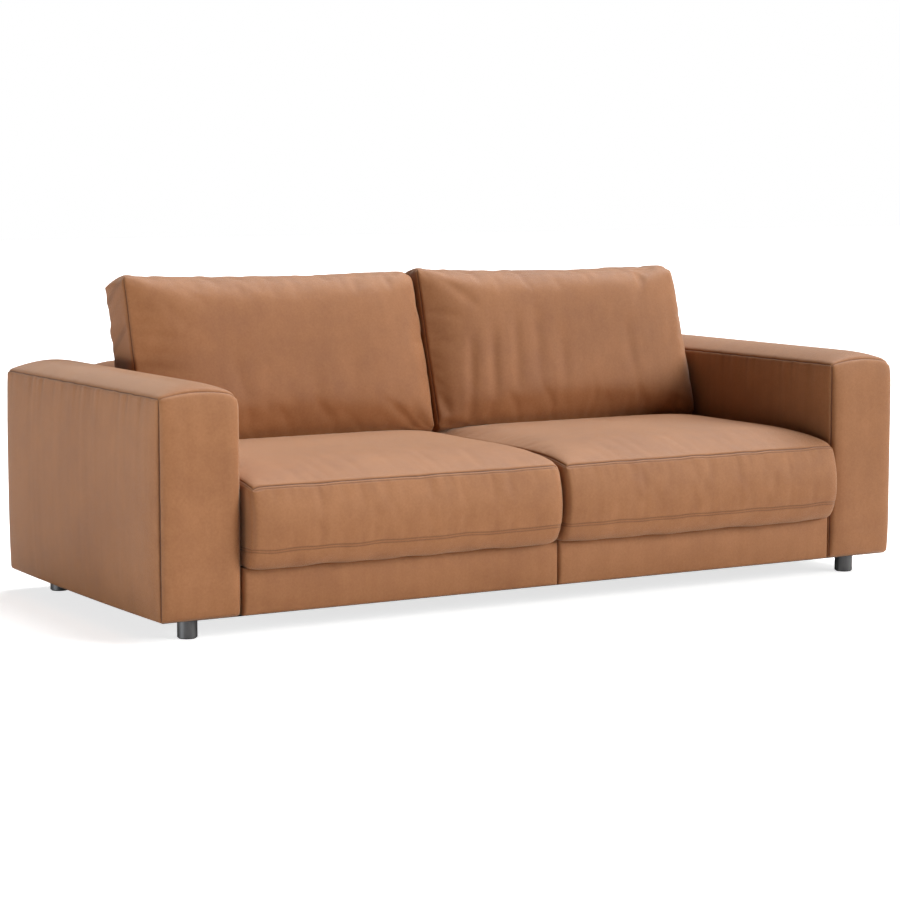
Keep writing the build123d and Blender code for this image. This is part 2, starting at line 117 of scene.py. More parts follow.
# %% Block helper
def block(name, low, high, cell, seam_cuts=((), (), ())):
    low, high = Vector(low), Vector(high)
    bpy.ops.object.select_all(action="DESELECT")
    bpy.ops.mesh.primitive_cube_add(size=1, location=(low + high) / 2)
    piece = bpy.context.object
    piece.name = name
    piece.data.name = name
    piece.scale = high - low
    bpy.ops.object.transform_apply(location=True, rotation=True, scale=True)
    bpy.ops.object.mode_set(mode="EDIT")
    bpy.ops.mesh.select_mode(type="EDGE")
    bpy.ops.object.mode_set(mode="OBJECT")
    for axis in range(3):
        bpy.ops.object.mode_set(mode="EDIT")
        bpy.ops.mesh.select_all(action="DESELECT")
        bpy.ops.object.mode_set(mode="OBJECT")
        points = read_points(piece)
        for edge in piece.data.edges:
            run = points[edge.vertices[1]] - points[edge.vertices[0]]
            edge.select = abs(run[axis]) > 0.5 * np.abs(run).sum()
        cuts = round((high[axis] - low[axis]) / cell) - 1
        bpy.ops.object.mode_set(mode="EDIT")
        if cuts > 0:
            bpy.ops.mesh.subdivide(number_cuts=cuts)
        bpy.ops.object.mode_set(mode="OBJECT")
    bpy.ops.object.mode_set(mode="EDIT")
    for axis, places in enumerate(seam_cuts):
        for place in places:
            spot = Vector((0, 0, 0))
            spot[axis] = place
            across = Vector((0, 0, 0))
            across[axis] = 1
            bpy.ops.mesh.select_all(action="SELECT")
            bpy.ops.mesh.bisect(plane_co=spot, plane_no=across, threshold=0.00005)
    bpy.ops.mesh.select_all(action="SELECT")
    bpy.ops.mesh.remove_doubles(threshold=0.0003)
    bpy.ops.mesh.normals_make_consistent(inside=False)
    bpy.ops.object.mode_set(mode="OBJECT")
    keep_laid(piece)
    return piece


def keep_laid(piece):
    laid = piece.data.attributes.new("laid", "FLOAT_VECTOR", "POINT")
    laid.data.foreach_set("vector", read_points(piece).ravel())


def read_laid(piece):
    table = np.empty(len(piece.data.vertices) * 3)
    piece.data.attributes["laid"].data.foreach_get("vector", table)
    return table.reshape(-1, 3)


def edge_cuts(low, high, steps):
    """Places for cuts along each axis, at those distances from both ends of a block."""
    return [
        [low[axis] + step for step in steps] + [high[axis] - step for step in steps]
        for axis in range(3)
    ]


def edge_gaps(laid, low, high):
    """How far each point lay from the nearer end of its block, along each axis."""
    return [
        np.minimum(np.abs(laid[:, axis] - low[axis]), np.abs(laid[:, axis] - high[axis]))
        for axis in range(3)
    ]


# %% [markdown]
# ## Rounding a block
# A square corner becomes round when each point is moved along its ray from the corner's own centre, until
# the square's outline lies on a circle. The same rule works on points inside the corner, so whole faces
# follow smoothly. Rounding one pair of axes at a time lets a cushion have wide corners seen from above
# and tighter ones seen from the side.


# %% Rounding helper
def round_corners(points, low, high, axes, radius):
    """Round the corners seen along the third axis. radius is one number, or one for each point."""
    first, second = axes
    reach = np.zeros((len(points), 2))
    for column, axis in enumerate(axes):
        below = np.minimum(points[:, axis] - low[axis] - radius, 0)
        above = np.maximum(points[:, axis] - high[axis] + radius, 0)
        reach[:, column] = below + above
    square = np.abs(reach).max(axis=1)
    circle = np.hypot(reach[:, 0], reach[:, 1])
    both = (np.abs(reach) > 1e-9).all(axis=1)
    scale = np.where(both, square / np.maximum(circle, 1e-9), 1.0)
    points[:, first] += reach[:, 0] * (scale - 1)
    points[:, second] += reach[:, 1] * (scale - 1)
    return points


def bow(share):
    """1 in the middle of a span and 0 at both ends, where share runs from -1 to 1."""
    return np.clip(1 - share**2, 0, 1)


def smooth_step(share):
    share = np.clip(share, 0, 1)
    return share * share * (3 - 2 * share)


def span_share(values, low, high):
    """-1 at low, 1 at high."""
    return (values - (low + high) / 2) / ((high - low) / 2)


# %% [markdown]
# ## Folds and gathers
# Leather that is pulled over a filling shows soft folds. One fold is a line on the panel with a width and
# a depth, faded at both ends. Gathers along a seam are a few waves of unlike lengths added up, so that no
# two of them look the same. The random numbers are seeded: each run draws the same sofa.


# %% Fold and gather helpers
def fold_depth(across, along, folds):
    """Depth at each panel point of folds given as (start, end, width, depth)."""
    depth = np.zeros(len(across))
    for start, end, width, deep in folds:
        run = np.subtract(end, start)
        length = math.hypot(*run)
        share = ((across - start[0]) * run[0] + (along - start[1]) * run[1]) / length**2
        held = np.clip(share, 0, 1)
        gap = np.hypot(across - start[0] - held * run[0], along - start[1] - held * run[1])
        faded = np.sin(np.pi * np.clip(held, 0.02, 0.98)) ** 0.7
        depth += deep * np.exp(-((gap / width) ** 2)) * faded
    return depth


def gathers(along, seed, lengths=(0.031, 0.047, 0.083)):
    """Uneven waves along a seam, between about -1 and 1."""
    draw = random.Random(seed)
    waves = np.zeros(len(along))
    for length in lengths:
        phase = draw.uniform(0, 2 * math.pi)
        drift = draw.uniform(0.7, 1.3)
        wobble = 0.4 * length * np.sin(along / (length * 3.7) + phase)
        waves += drift * np.sin(2 * math.pi * (along + wobble) / length + phase)
    return waves / len(lengths)


# %% [markdown]
# ## Seams
# A seam is a narrow dip where two panels of leather are sewn together. It is pressed into the finished
# mesh along the normals. The attribute "seam" is kept for the leather's colour: it darkens each seam,
# partly as the joint's own darker colour and partly as painted shade in its groove, and it holds painted
# shade in the dips between gathers.


# %% Seam helper
def press_seam(piece, gap, width, depth, shade=1.0):
    """Push points inwards where gap, their distance from the seam, is small, and mark them."""
    dip = np.exp(-((gap / width) ** 2))
    write_points(piece, read_points(piece) - read_normals(piece) * (dip * depth)[:, None])
    # The mark darkens the seam: the joint's own darker colour, with painted shade in its groove.
    mark_dips(piece, shade * np.exp(-((gap / width / 0.7) ** 2)))


def mark_dips(piece, shade):
    """Keep the darker of the piece's shade so far and this one, point by point."""
    if "seam" not in piece.data.attributes:
        piece.data.attributes.new("seam", "FLOAT", "POINT")
    mark = np.empty(len(shade))
    piece.data.attributes["seam"].data.foreach_get("value", mark)
    piece.data.attributes["seam"].data.foreach_set("value", np.maximum(mark, shade))


def smooth_finish(piece):
    """Add one level of subdivision, apply it and shade the piece smooth."""
    pick(piece)
    finer = piece.modifiers.new("finer", "SUBSURF")
    finer.levels = 1
    finer.render_levels = 1
    bpy.ops.object.modifier_apply(modifier=finer.name)
    bpy.ops.object.shade_smooth()


# %% [markdown]
# ## Stuffing a cushion
# Blender's cloth gives a loose cushion its honest shape: the leather is cut a little too large, the seams
# are held, and air pressure stands in for the filling. Gravity is off, so only the leather's own slack
# makes the puckers. Twenty frames are enough. No point may end far from where it was modelled, so the
# cushion stays in its place.


# %% Cloth helper
cloth_frames = 20


def stuff(piece, held, slack, pressure, cap):
    """Swell a cushion with cloth. held is how firmly each point is pinned, from 0 to 1."""
    start = read_points(piece)
    group = piece.vertex_groups.new(name="held")
    for index in np.nonzero(held > 0)[0]:
        group.add([int(index)], float(held[index]), "REPLACE")
    cloth = piece.modifiers.new("cloth", "CLOTH")
    rules = cloth.settings
    rules.quality = 5
    rules.mass = 0.3
    rules.tension_stiffness = 25
    rules.compression_stiffness = 25
    rules.shear_stiffness = 12
    rules.bending_stiffness = 1.5
    rules.tension_damping = 12
    rules.compression_damping = 12
    rules.shear_damping = 12
    rules.use_pressure = True
    rules.uniform_pressure_force = pressure
    rules.vertex_group_mass = group.name
    rules.shrink_min = -slack
    rules.effector_weights.gravity = 0
    cloth.collision_settings.use_collision = False
    cloth.point_cache.frame_start = 1
    cloth.point_cache.frame_end = cloth_frames
    for number in range(1, cloth_frames + 1):
        bpy.context.scene.frame_set(number)
    pick(piece)
    bpy.ops.object.modifier_apply(modifier=cloth.name)
    bpy.context.scene.frame_set(1)
    moved = read_points(piece) - start
    length = np.linalg.norm(moved, axis=1)
    scale = cap * np.tanh(length / cap) / np.maximum(length, 1e-9)
    write_points(piece, start + moved * scale[:, None])
    piece.vertex_groups.remove(piece.vertex_groups["held"])
    print("  stuffed", piece.name, "largest move", round(1000 * float(length.max()), 1), "mm")


# %% [markdown]
# ## The arms
# An arm is a box of boards under foam, with leather drawn tight over it. Its top swells between its two
# long edges and drops towards its ends, and its outer side has a soft belly. Tight leather doesn't billow,
# so the arm is shaped by these rules and needs no cloth. Seen from the front, each arm is sewn along its
# left-hand edges, where the side panel is gathered a little, and rolls over its right-hand edges.

# %% Arm sizes
arm_low, arm_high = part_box("left_arm_cover")
sofa_half = 1130 * mm  # x of the arms' outer top seams
arm_seam = 600 * mm  # height of the top seams
arm_crown = 29 * mm
arm_end_crown = 14 * mm
arm_swell = 12 * mm  # belly of the outer side
inner_swell = 4 * mm
front_swell = 15 * mm
rear_swell = 8 * mm
foot_sag = 4 * mm
arm_inner = arm_high.x
sewn_edge = 12 * mm  # round of an edge with a seam
rolled_edge = 30 * mm  # round of the long edge that the leather rolls over
rolled_corner = 20 * mm  # the same leather, seen from above
front_edge = 16 * mm
foot_edge = 10 * mm
gather_height = 3.6 * mm
top_seam_wave = 2.0 * mm
front_seam_wave = 1.2 * mm
near_edge = (2 * mm, 5 * mm, 9 * mm, 14 * mm)  # extra cuts, so that an edge bends smoothly
print("arm box", [round(v, 3) for v in (*arm_low, *arm_high)])


# %% Arm builder
def build_arm(name, low_x, high_x, outer_is_low):
    low = Vector((low_x, arm_low.y, arm_low.z))
    high = Vector((high_x, arm_high.y, arm_seam))
    piece = block(name, low, high, 14 * mm, edge_cuts(low, high, near_edge))
    laid = read_laid(piece)
    points = laid.copy()
    across = span_share(laid[:, 0], low.x, high.x)
    along = span_share(laid[:, 1], low.y, high.y)
    up = span_share(laid[:, 2], low.z, high.z)
    points = round_corners(points, low, high, (1, 2), np.where(up < 0, foot_edge, front_edge))
    long_edge = np.where(across > 0, rolled_edge, sewn_edge)
    points = round_corners(points, low, high, (0, 2), np.where(up < 0, foot_edge, long_edge))
    points = round_corners(points, low, high, (0, 1), np.where(across > 0, rolled_corner, sewn_edge))
    rise = (laid[:, 2] - low.z) / (high.z - low.z)
    leftward = (1 - across) / 2
    outward = leftward if outer_is_low else 1 - leftward
    away = -1 if outer_is_low else 1
    front = (1 - along) / 2
    full_length = bow(np.abs(along) ** 10)
    crown = arm_end_crown + (arm_crown - arm_end_crown) * bow(np.abs(along) ** 8)
    points[:, 2] += crown * bow(across) * rise**3
    points[:, 0] += away * arm_swell * outward**2 * bow(np.abs(up) ** 1.5) * full_length
    points[:, 0] -= away * inner_swell * (1 - outward) ** 4 * bow(np.abs(up) ** 3) * full_length
    full_face = bow(np.abs(across) ** 4) * bow(np.abs(up) ** 4)
    points[:, 1] -= front_swell * front**14 * full_face
    points[:, 1] += rear_swell * (1 - front) ** 14 * full_face
    points[:, 2] -= foot_sag * (1 - rise) ** 10 * leftward**6 * bow(along)
    points[:, 0] -= gather_height * side_gathers(laid, low, high)
    on_top_seam = leftward**14 * rise**8 * bow(np.abs(along) ** 8)
    points[:, 2] += top_seam_wave * gathers(laid[:, 1], 23) * on_top_seam
    on_front_seam = leftward**20 * front**14 * bow(up)
    points[:, 1] += front_seam_wave * gathers(laid[:, 2], 29, (0.06, 0.11)) * on_front_seam
    write_points(piece, points)
    smooth_finish(piece)
    laid = read_laid(piece)
    ends = edge_gaps(laid, low, high)[1]
    top = np.abs(laid[:, 2] - high.z)
    left = laid[:, 0] - low.x
    press_seam(piece, np.minimum(np.hypot(left, top), np.hypot(left, ends)), 2.0 * mm, 1.9 * mm)
    press_seam(piece, np.hypot(ends, top), 1.8 * mm, 1.2 * mm, 0.6)
    # Painted shade in the dips between the gathers of the left-hand side panel.
    mark_dips(piece, 0.55 * np.clip(-side_gathers(laid, low, high), 0, 1))
    return piece


def side_gathers(laid, low, high):
    """Waves of the left-hand panel, strongest just under its top seam."""
    along = span_share(laid[:, 1], low.y, high.y)
    drop = high.z - laid[:, 2]
    pull = np.exp(-drop / (38 * mm)) * smooth_step(drop / (8 * mm))
    pull += 0.09 * smooth_step(drop / (40 * mm))
    on_left = smooth_step(((high.x - laid[:, 0]) / (high.x - low.x) - 0.97) / 0.03)
    uneven = 0.75 + 0.5 * gathers(laid[:, 1], 13, (0.19, 0.31))
    waves = gathers(laid[:, 1], 11, (0.027, 0.041, 0.073))
    return waves * uneven * pull * on_left * bow(np.abs(along) ** 8)


# %% Both arms
left_arm = build_arm("left_arm", -sofa_half, arm_inner, True)
right_arm = build_arm("right_arm", -arm_inner, sofa_half, False)
for piece, node in ((left_arm, "left_arm_cover"), (right_arm, "right_arm_cover")):
    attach(piece, "sofa_frame")
    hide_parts(node)
    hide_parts(node.replace("cover", "foam"))
print("arms:", len(left_arm.data.polygons), "faces each")

# %% [markdown]
# ## The fixed back
# Between the arms stands a low padded back. Its inside leans away from the seat, its top is crowned and
# its outside has a slight belly. Most of it hides behind the cushions, but the whole outside shows when the
# sofa stands free in a room.

# %% Fixed back
back_low, back_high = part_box("back_cover")
back_rake = 68 * mm  # how far the inside back leans away by its top seam
back_crown = 20 * mm
back_belly = 6 * mm
back_edge = 11 * mm
back_gathers = 1.3 * mm
deck_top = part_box("seat_deck")[1].z


def build_back():
    low = Vector((back_low.x + 1 * mm, back_low.y, back_low.z))
    high = Vector((back_high.x - 1 * mm, back_high.y - back_belly, arm_seam))
    piece = block("fixed_back", low, high, 16 * mm, edge_cuts(low, high, near_edge))
    laid = read_laid(piece)
    points = laid.copy()
    for axes in ((0, 1), (1, 2), (0, 2)):
        points = round_corners(points, low, high, axes, back_edge)
    along = span_share(laid[:, 0], low.x, high.x)
    through = span_share(laid[:, 1], low.y, high.y)
    up = span_share(laid[:, 2], low.z, high.z)
    rise = (laid[:, 2] - low.z) / (high.z - low.z)
    forward = (high.y - laid[:, 1]) / (high.y - low.y)
    lean = back_rake * np.clip((laid[:, 2] - deck_top) / (high.z - deck_top), 0, 1)
    points[:, 1] += lean * forward
    points[:, 2] += back_crown * bow(through) * rise**3 * bow(np.abs(along) ** 20)
    points[:, 1] += back_belly * (1 - forward) ** 3 * bow(up) * bow(np.abs(along) ** 4)
    drop = high.z - laid[:, 2]
    pull = np.exp(-drop / (60 * mm)) * smooth_step(drop / (9 * mm))
    pull += 0.18 * smooth_step(drop / (40 * mm))
    on_rear = smooth_step((0.04 - forward) / 0.04)
    points[:, 1] += back_gathers * gathers(laid[:, 0], 31) * pull * on_rear
    write_points(piece, points)
    smooth_finish(piece)
    laid = read_laid(piece)
    seams = np.hypot(edge_gaps(laid, low, high)[1], np.abs(laid[:, 2] - high.z))
    press_seam(piece, seams, 3.2 * mm, 2.4 * mm)
    return piece


fixed_back = build_back()
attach(fixed_back, "sofa_frame")
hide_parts("back_cover")
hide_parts("back_foam")
print("fixed back:", len(fixed_back.data.polygons), "faces")

# %% [markdown]
# ## The front borders
# Two padded leather panels close the seat base between the arms. They meet in an upright seam that lies a
# little right of the middle. Each is a shallow block with a belly, and its ends tuck in where it meets
# the arm or the other panel.


# %% Front borders
border_room = 8 * mm  # kept free in front, for the belly
border_belly = 6 * mm
border_edge = 8 * mm
border_waves = 0.5 * mm


def build_border(side):
    low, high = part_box(f"{side}_front_border_cover")
    low = Vector((low.x, low.y + border_room, low.z))
    cuts = edge_cuts(low, high, (2 * mm, 5 * mm, 9 * mm))
    piece = block(f"{side}_front_border", low, high, 13 * mm, cuts)
    laid = read_laid(piece)
    points = laid.copy()
    for axes in ((0, 1), (1, 2)):
        points = round_corners(points, low, high, axes, border_edge)
    along = span_share(laid[:, 0], low.x, high.x)
    up = span_share(laid[:, 2], low.z, high.z)
    forward = (high.y - laid[:, 1]) / (high.y - low.y)
    points[:, 1] -= border_belly * forward**2 * bow(up) * bow(np.abs(along) ** 10)
    waves = gathers(laid[:, 0], 41, (0.06, 0.11, 0.19))
    points[:, 1] -= border_waves * waves * forward**4 * bow(up)
    write_points(piece, points)
    smooth_finish(piece)
    return piece


borders = {side: build_border(side) for side in ("left", "right")}
for side, piece in borders.items():
    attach(piece, "sofa_frame")
    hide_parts(f"{side}_front_border_cover")
    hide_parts(f"{side}_front_border_foam")
print("borders:", [len(piece.data.polygons) for piece in borders.values()], "faces")

# %% [markdown]
# ## The seat cushions
# A seat cushion is a thick foam block in a boxed leather case. Its top is crowned from front to back and
# from side to side, its front bellies out past the arms, and its front right corner is the widest. Under
# the top seam the front panel is slightly gathered, and low on the front a double row of stitching holds
# the lip that rolls under. The block is shaped first, then stuffed with cloth, and only then are the
# seams pressed in, because they are narrower than the cloth's own net.

# %% Seat cushion sizes
seat_low, seat_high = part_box("left_seat_cover")
seat_seam = 378 * mm  # height of the top front seam
seat_lip = 216 * mm  # height of the lower seam
seat_crown = 40 * mm
seat_end_crown = 25 * mm
seam_setback = 28 * mm  # belly to the top front seam
foot_setback = 34 * mm  # belly to the foot of the front
seat_corner = 36 * mm  # front right, seen from above
tucked_corner = 18 * mm  # the other three
end_setback = 7 * mm  # more of it at both ends of the front
front_roll = 15 * mm
side_roll = 24 * mm
lip_roll = 12 * mm
belly_height = 0.47  # share of the height where the belly is fullest
topstitch = 8 * mm  # a stitch row from its seam
double_row = 6 * mm  # between the two rows above the lip
stitch_rows = (seat_seam - topstitch, seat_lip, seat_lip + double_row)
seat_gathers = 2.2 * mm
seat_waves = {"top": 1.6 * mm, "lip": 1.8 * mm}  # how unevenly the seams run
border_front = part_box("left_front_border_cover")[0].y - 3 * mm
print("seat cushion box", [round(v, 3) for v in (*seat_low, *seat_high)])


# %% Seat cushion builder
def build_seat(side):
    node_low, node_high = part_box(f"{side}_seat_cover")
    low = Vector((node_low.x + 0.5 * mm, node_low.y, node_low.z))
    high = Vector((node_high.x - 0.5 * mm, node_high.y, seat_seam))
    rows = [seat_lip + step * mm for step in (0, 6, -5)]
    rows += [seat_seam - topstitch, seat_seam - 3 * mm, seat_seam - topstitch - 4 * mm]
    rows += [seat_lip + step * mm for step in (11, 3)]
    walls, shelf, _ = edge_cuts(low, high, (3 * mm, 8 * mm))
    piece = block(f"{side}_seat_cushion_leather", low, high, 13 * mm, (walls, shelf, rows))
    laid = read_laid(piece)
    points = laid.copy()
    along = span_share(laid[:, 0], low.x, high.x)
    inward = span_share(laid[:, 1], low.y, high.y)
    forward = (1 - inward) / 2
    points = round_corners(points, low, high, (1, 2), front_roll)
    roll = np.where(laid[:, 2] > seat_lip, side_roll, lip_roll)
    points = round_corners(points, low, high, (0, 2), roll)
    front_right = (inward < 0) & (along > 0)
    corner = np.where(front_right, seat_corner, tucked_corner)
    points = round_corners(points, low, high, (0, 1), corner)
    along = span_share(points[:, 0], low.x, high.x)
    inward = span_share(points[:, 1], low.y, high.y)
    rise = np.clip((points[:, 2] - low.z) / (high.z - low.z), 0, 1)
    crown = seat_end_crown + (seat_crown - seat_end_crown) * bow(np.abs(along) ** 2.5)
    points[:, 2] += crown * bow(np.abs(inward) ** 2.2) * rise**2
    setback = np.where(
        rise > belly_height,
        seam_setback * (np.maximum(rise - belly_height, 0) / (1 - belly_height)) ** 2,
        foot_setback * (np.maximum(belly_height - rise, 0) / belly_height) ** 2.4,
    )
    points[:, 1] += setback * forward + end_setback * (np.abs(along) ** 6) * forward
    overhang = smooth_step((0.965 - forward) / -0.02)
    sag = 3.5 + 2.6 * gathers(laid[:, 0], 97, (0.13, 0.23, 0.41))
    points[:, 2] -= mm * sag * overhang * (1 - rise) ** 6 * bow(np.abs(along) ** 8)
    front_face = smooth_step((forward - 0.985) / 0.015)
    seed = 61 if side == "left" else 67
    points[:, 1] += seat_gathers * front_gathers(laid, low, high, seed)
    top_waves = gathers(laid[:, 0], seed + 1, (0.09, 0.15, 0.23))
    points[:, 2] += seat_waves["top"] * top_waves * front_face * rise**2
    lip_waves = gathers(laid[:, 0], seed + 3, (0.12, 0.21))
    points[:, 2] += seat_waves["lip"] * lip_waves * front_face * bow(2 * rise - 0.6)
    write_points(piece, points)
    edge_x, edge_y, _ = edge_gaps(laid, low, high)
    top_seam = np.hypot(np.minimum(edge_x, edge_y), laid[:, 2] - high.z)
    lip_seam = np.abs(laid[:, 2] - seat_lip)
    on_deck = laid[:, 2] < low.z + 1 * mm
    held = np.where((top_seam < 10 * mm) | (lip_seam < 7 * mm) | on_deck, 1.0, 0.0)
    held = np.maximum(held, np.where(edge_x < 1 * mm, 0.6, 0.0))
    stuff(piece, held, slack=0.004, pressure=4, cap=8 * mm)
    points = read_points(piece)
    points[:, 0] = np.clip(points[:, 0], low.x, high.x)
    points[:, 1] = np.minimum(points[:, 1], high.y)
    inside = points[:, 1] > border_front
    points[inside, 2] = np.maximum(points[inside, 2], low.z)
    write_points(piece, points)
    smooth_finish(piece)
    laid = read_laid(piece)
    edge_x, edge_y, _ = edge_gaps(laid, low, high)
    side_gap = np.minimum(edge_x, edge_y)
    press_seam(piece, np.hypot(side_gap, laid[:, 2] - high.z), 2.6 * mm, 2.6 * mm)
    off_wall = np.where(side_gap < 1 * mm, 0, 1)
    for row in stitch_rows:
        press_seam(piece, np.abs(laid[:, 2] - row) + off_wall, 2.0 * mm, 1.0 * mm, 0.55)
    # Painted shade in the dips between the gathers of the front panel.
    mark_dips(piece, 0.30 * np.clip(front_gathers(laid, low, high, seed), 0, 1))
    return piece


def front_gathers(laid, low, high, seed):
    """Waves of the front panel, under its top seam and above the lip, stronger to the left."""
    drop = seat_seam - laid[:, 2]
    pull = np.exp(-drop / (34 * mm)) * smooth_step((drop - 3 * mm) / (10 * mm))
    pull += 0.5 * np.exp(-np.abs(laid[:, 2] - seat_lip - 22 * mm) / (14 * mm))
    on_front = smooth_step(((high.y - laid[:, 1]) / (high.y - low.y) - 0.985) / 0.015)
    uneven = 0.6 + 0.7 * np.exp(-(laid[:, 0] - low.x) / (160 * mm))
    uneven += 0.4 * gathers(laid[:, 0], seed + 7, (0.17, 0.29))
    return gathers(laid[:, 0], seed, (0.026, 0.041, 0.067)) * uneven * pull * on_front


seats = {side: build_seat(side) for side in ("left", "right")}
for side, piece in seats.items():
    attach(piece, f"{side}_seat_cushion")
    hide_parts(f"{side}_seat_cover")
    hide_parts(f"{side}_seat_core")
print("seat cushions:", [len(piece.data.polygons) for piece in seats.values()], "faces")

# %% [markdown]
# ## The back cushions
# A back cushion leans against the fixed back and stands on its seat cushion. It is softer than the seat:
# its front panel is full, its boxing is puckered, and its upper corners stand up like small ears, the
# left one most. It is modelled upright in a frame of its own, leaned back, and then stuffed. Where it
# would sink into the seat cushion, its foot is lifted until it just stands on it.

# %% Back cushion sizes
lean = math.radians(16)
stand = Vector((0, 140 * mm, 407 * mm))  # foot of the front panel
cushion_height = 470 * mm
cushion_depth = 132 * mm
front_crown = 34 * mm
rear_crown = 9 * mm
top_crown = 9 * mm
top_sag = 5 * mm
ear_rise = 8 * mm  # the upper left corner
blunt_rise = 3 * mm  # the upper right corner
crest_waves = 5.5 * mm
boxing_lumps = 6.5 * mm
boxing_waves = (0.041, 0.067, 0.11)
fold_scale = {"left": 1.0 * mm, "right": 2.0 * mm}
cushion_slack = {"left": 0.006, "right": 0.011}
# How far a cushion may swell to its left and to its right.
cushion_room = {"left": (4 * mm, 2 * mm), "right": (2 * mm, 7 * mm)}
print("back cushion leans", round(math.degrees(lean)), "degrees from", [round(v, 3) for v in stand])


# %% Lean helper
def lean_back(points):
    """From the upright frame (x, depth, height) to the sofa's own frame."""
    leaned = points.copy()
    leaned[:, 1] = stand.y + points[:, 1] * math.cos(lean) + points[:, 2] * math.sin(lean)
    leaned[:, 2] = stand.z - points[:, 1] * math.sin(lean) + points[:, 2] * math.cos(lean)
    return leaned


def keep_above(piece, below, room):
    """Lift points that come nearer than room to the piece they stand on."""
    floor = BVHTree.FromPolygons(
        [vertex.co for vertex in below.data.vertices],
        [polygon.vertices for polygon in below.data.polygons],
    )
    points = read_points(piece)
    top = max(vertex.co.z for vertex in below.data.vertices) + room
    for index in np.nonzero(points[:, 2] < top)[0]:
        x, y, z = points[index]
        hit = floor.ray_cast(Vector((x, y, 1)), Vector((0, 0, -1)))[0]
        if hit is not None and z < hit.z + room:
            points[index, 2] = hit.z + room
    write_points(piece, points)


# %% Back cushion builder
cushion_folds = {
    "left": [
        ((0.30, 0.06), (0.27, 0.24), 0.020, 2.2),
        ((0.52, 0.05), (0.50, 0.20), 0.024, 1.8),
        ((0.62, 0.04), (0.64, 0.26), 0.022, 1.6),
        ((0.83, 0.30), (0.85, 0.45), 0.016, 1.6),
        ((0.06, 0.43), (0.16, 0.30), 0.014, 2.4),
        ((0.12, 0.45), (0.24, 0.36), 0.014, 1.6),
        ((0.74, 0.06), (0.77, 0.17), 0.018, 1.4),
    ],
    "right": [
        ((0.10, 0.05), (0.13, 0.27), 0.013, 3.4),
        ((0.17, 0.04), (0.20, 0.30), 0.014, 3.0),
        ((0.25, 0.08), (0.28, 0.33), 0.015, 2.2),
        ((0.33, 0.10), (0.35, 0.36), 0.016, 1.8),
        ((0.41, 0.06), (0.43, 0.28), 0.016, 1.7),
        ((0.66, 0.10), (0.65, 0.30), 0.014, 1.6),
        ((0.06, 0.44), (0.17, 0.34), 0.014, 2.2),
        ((0.70, 0.34), (0.76, 0.45), 0.014, 1.6),
        ((0.80, 0.10), (0.82, 0.36), 0.016, 1.5),
    ],
}


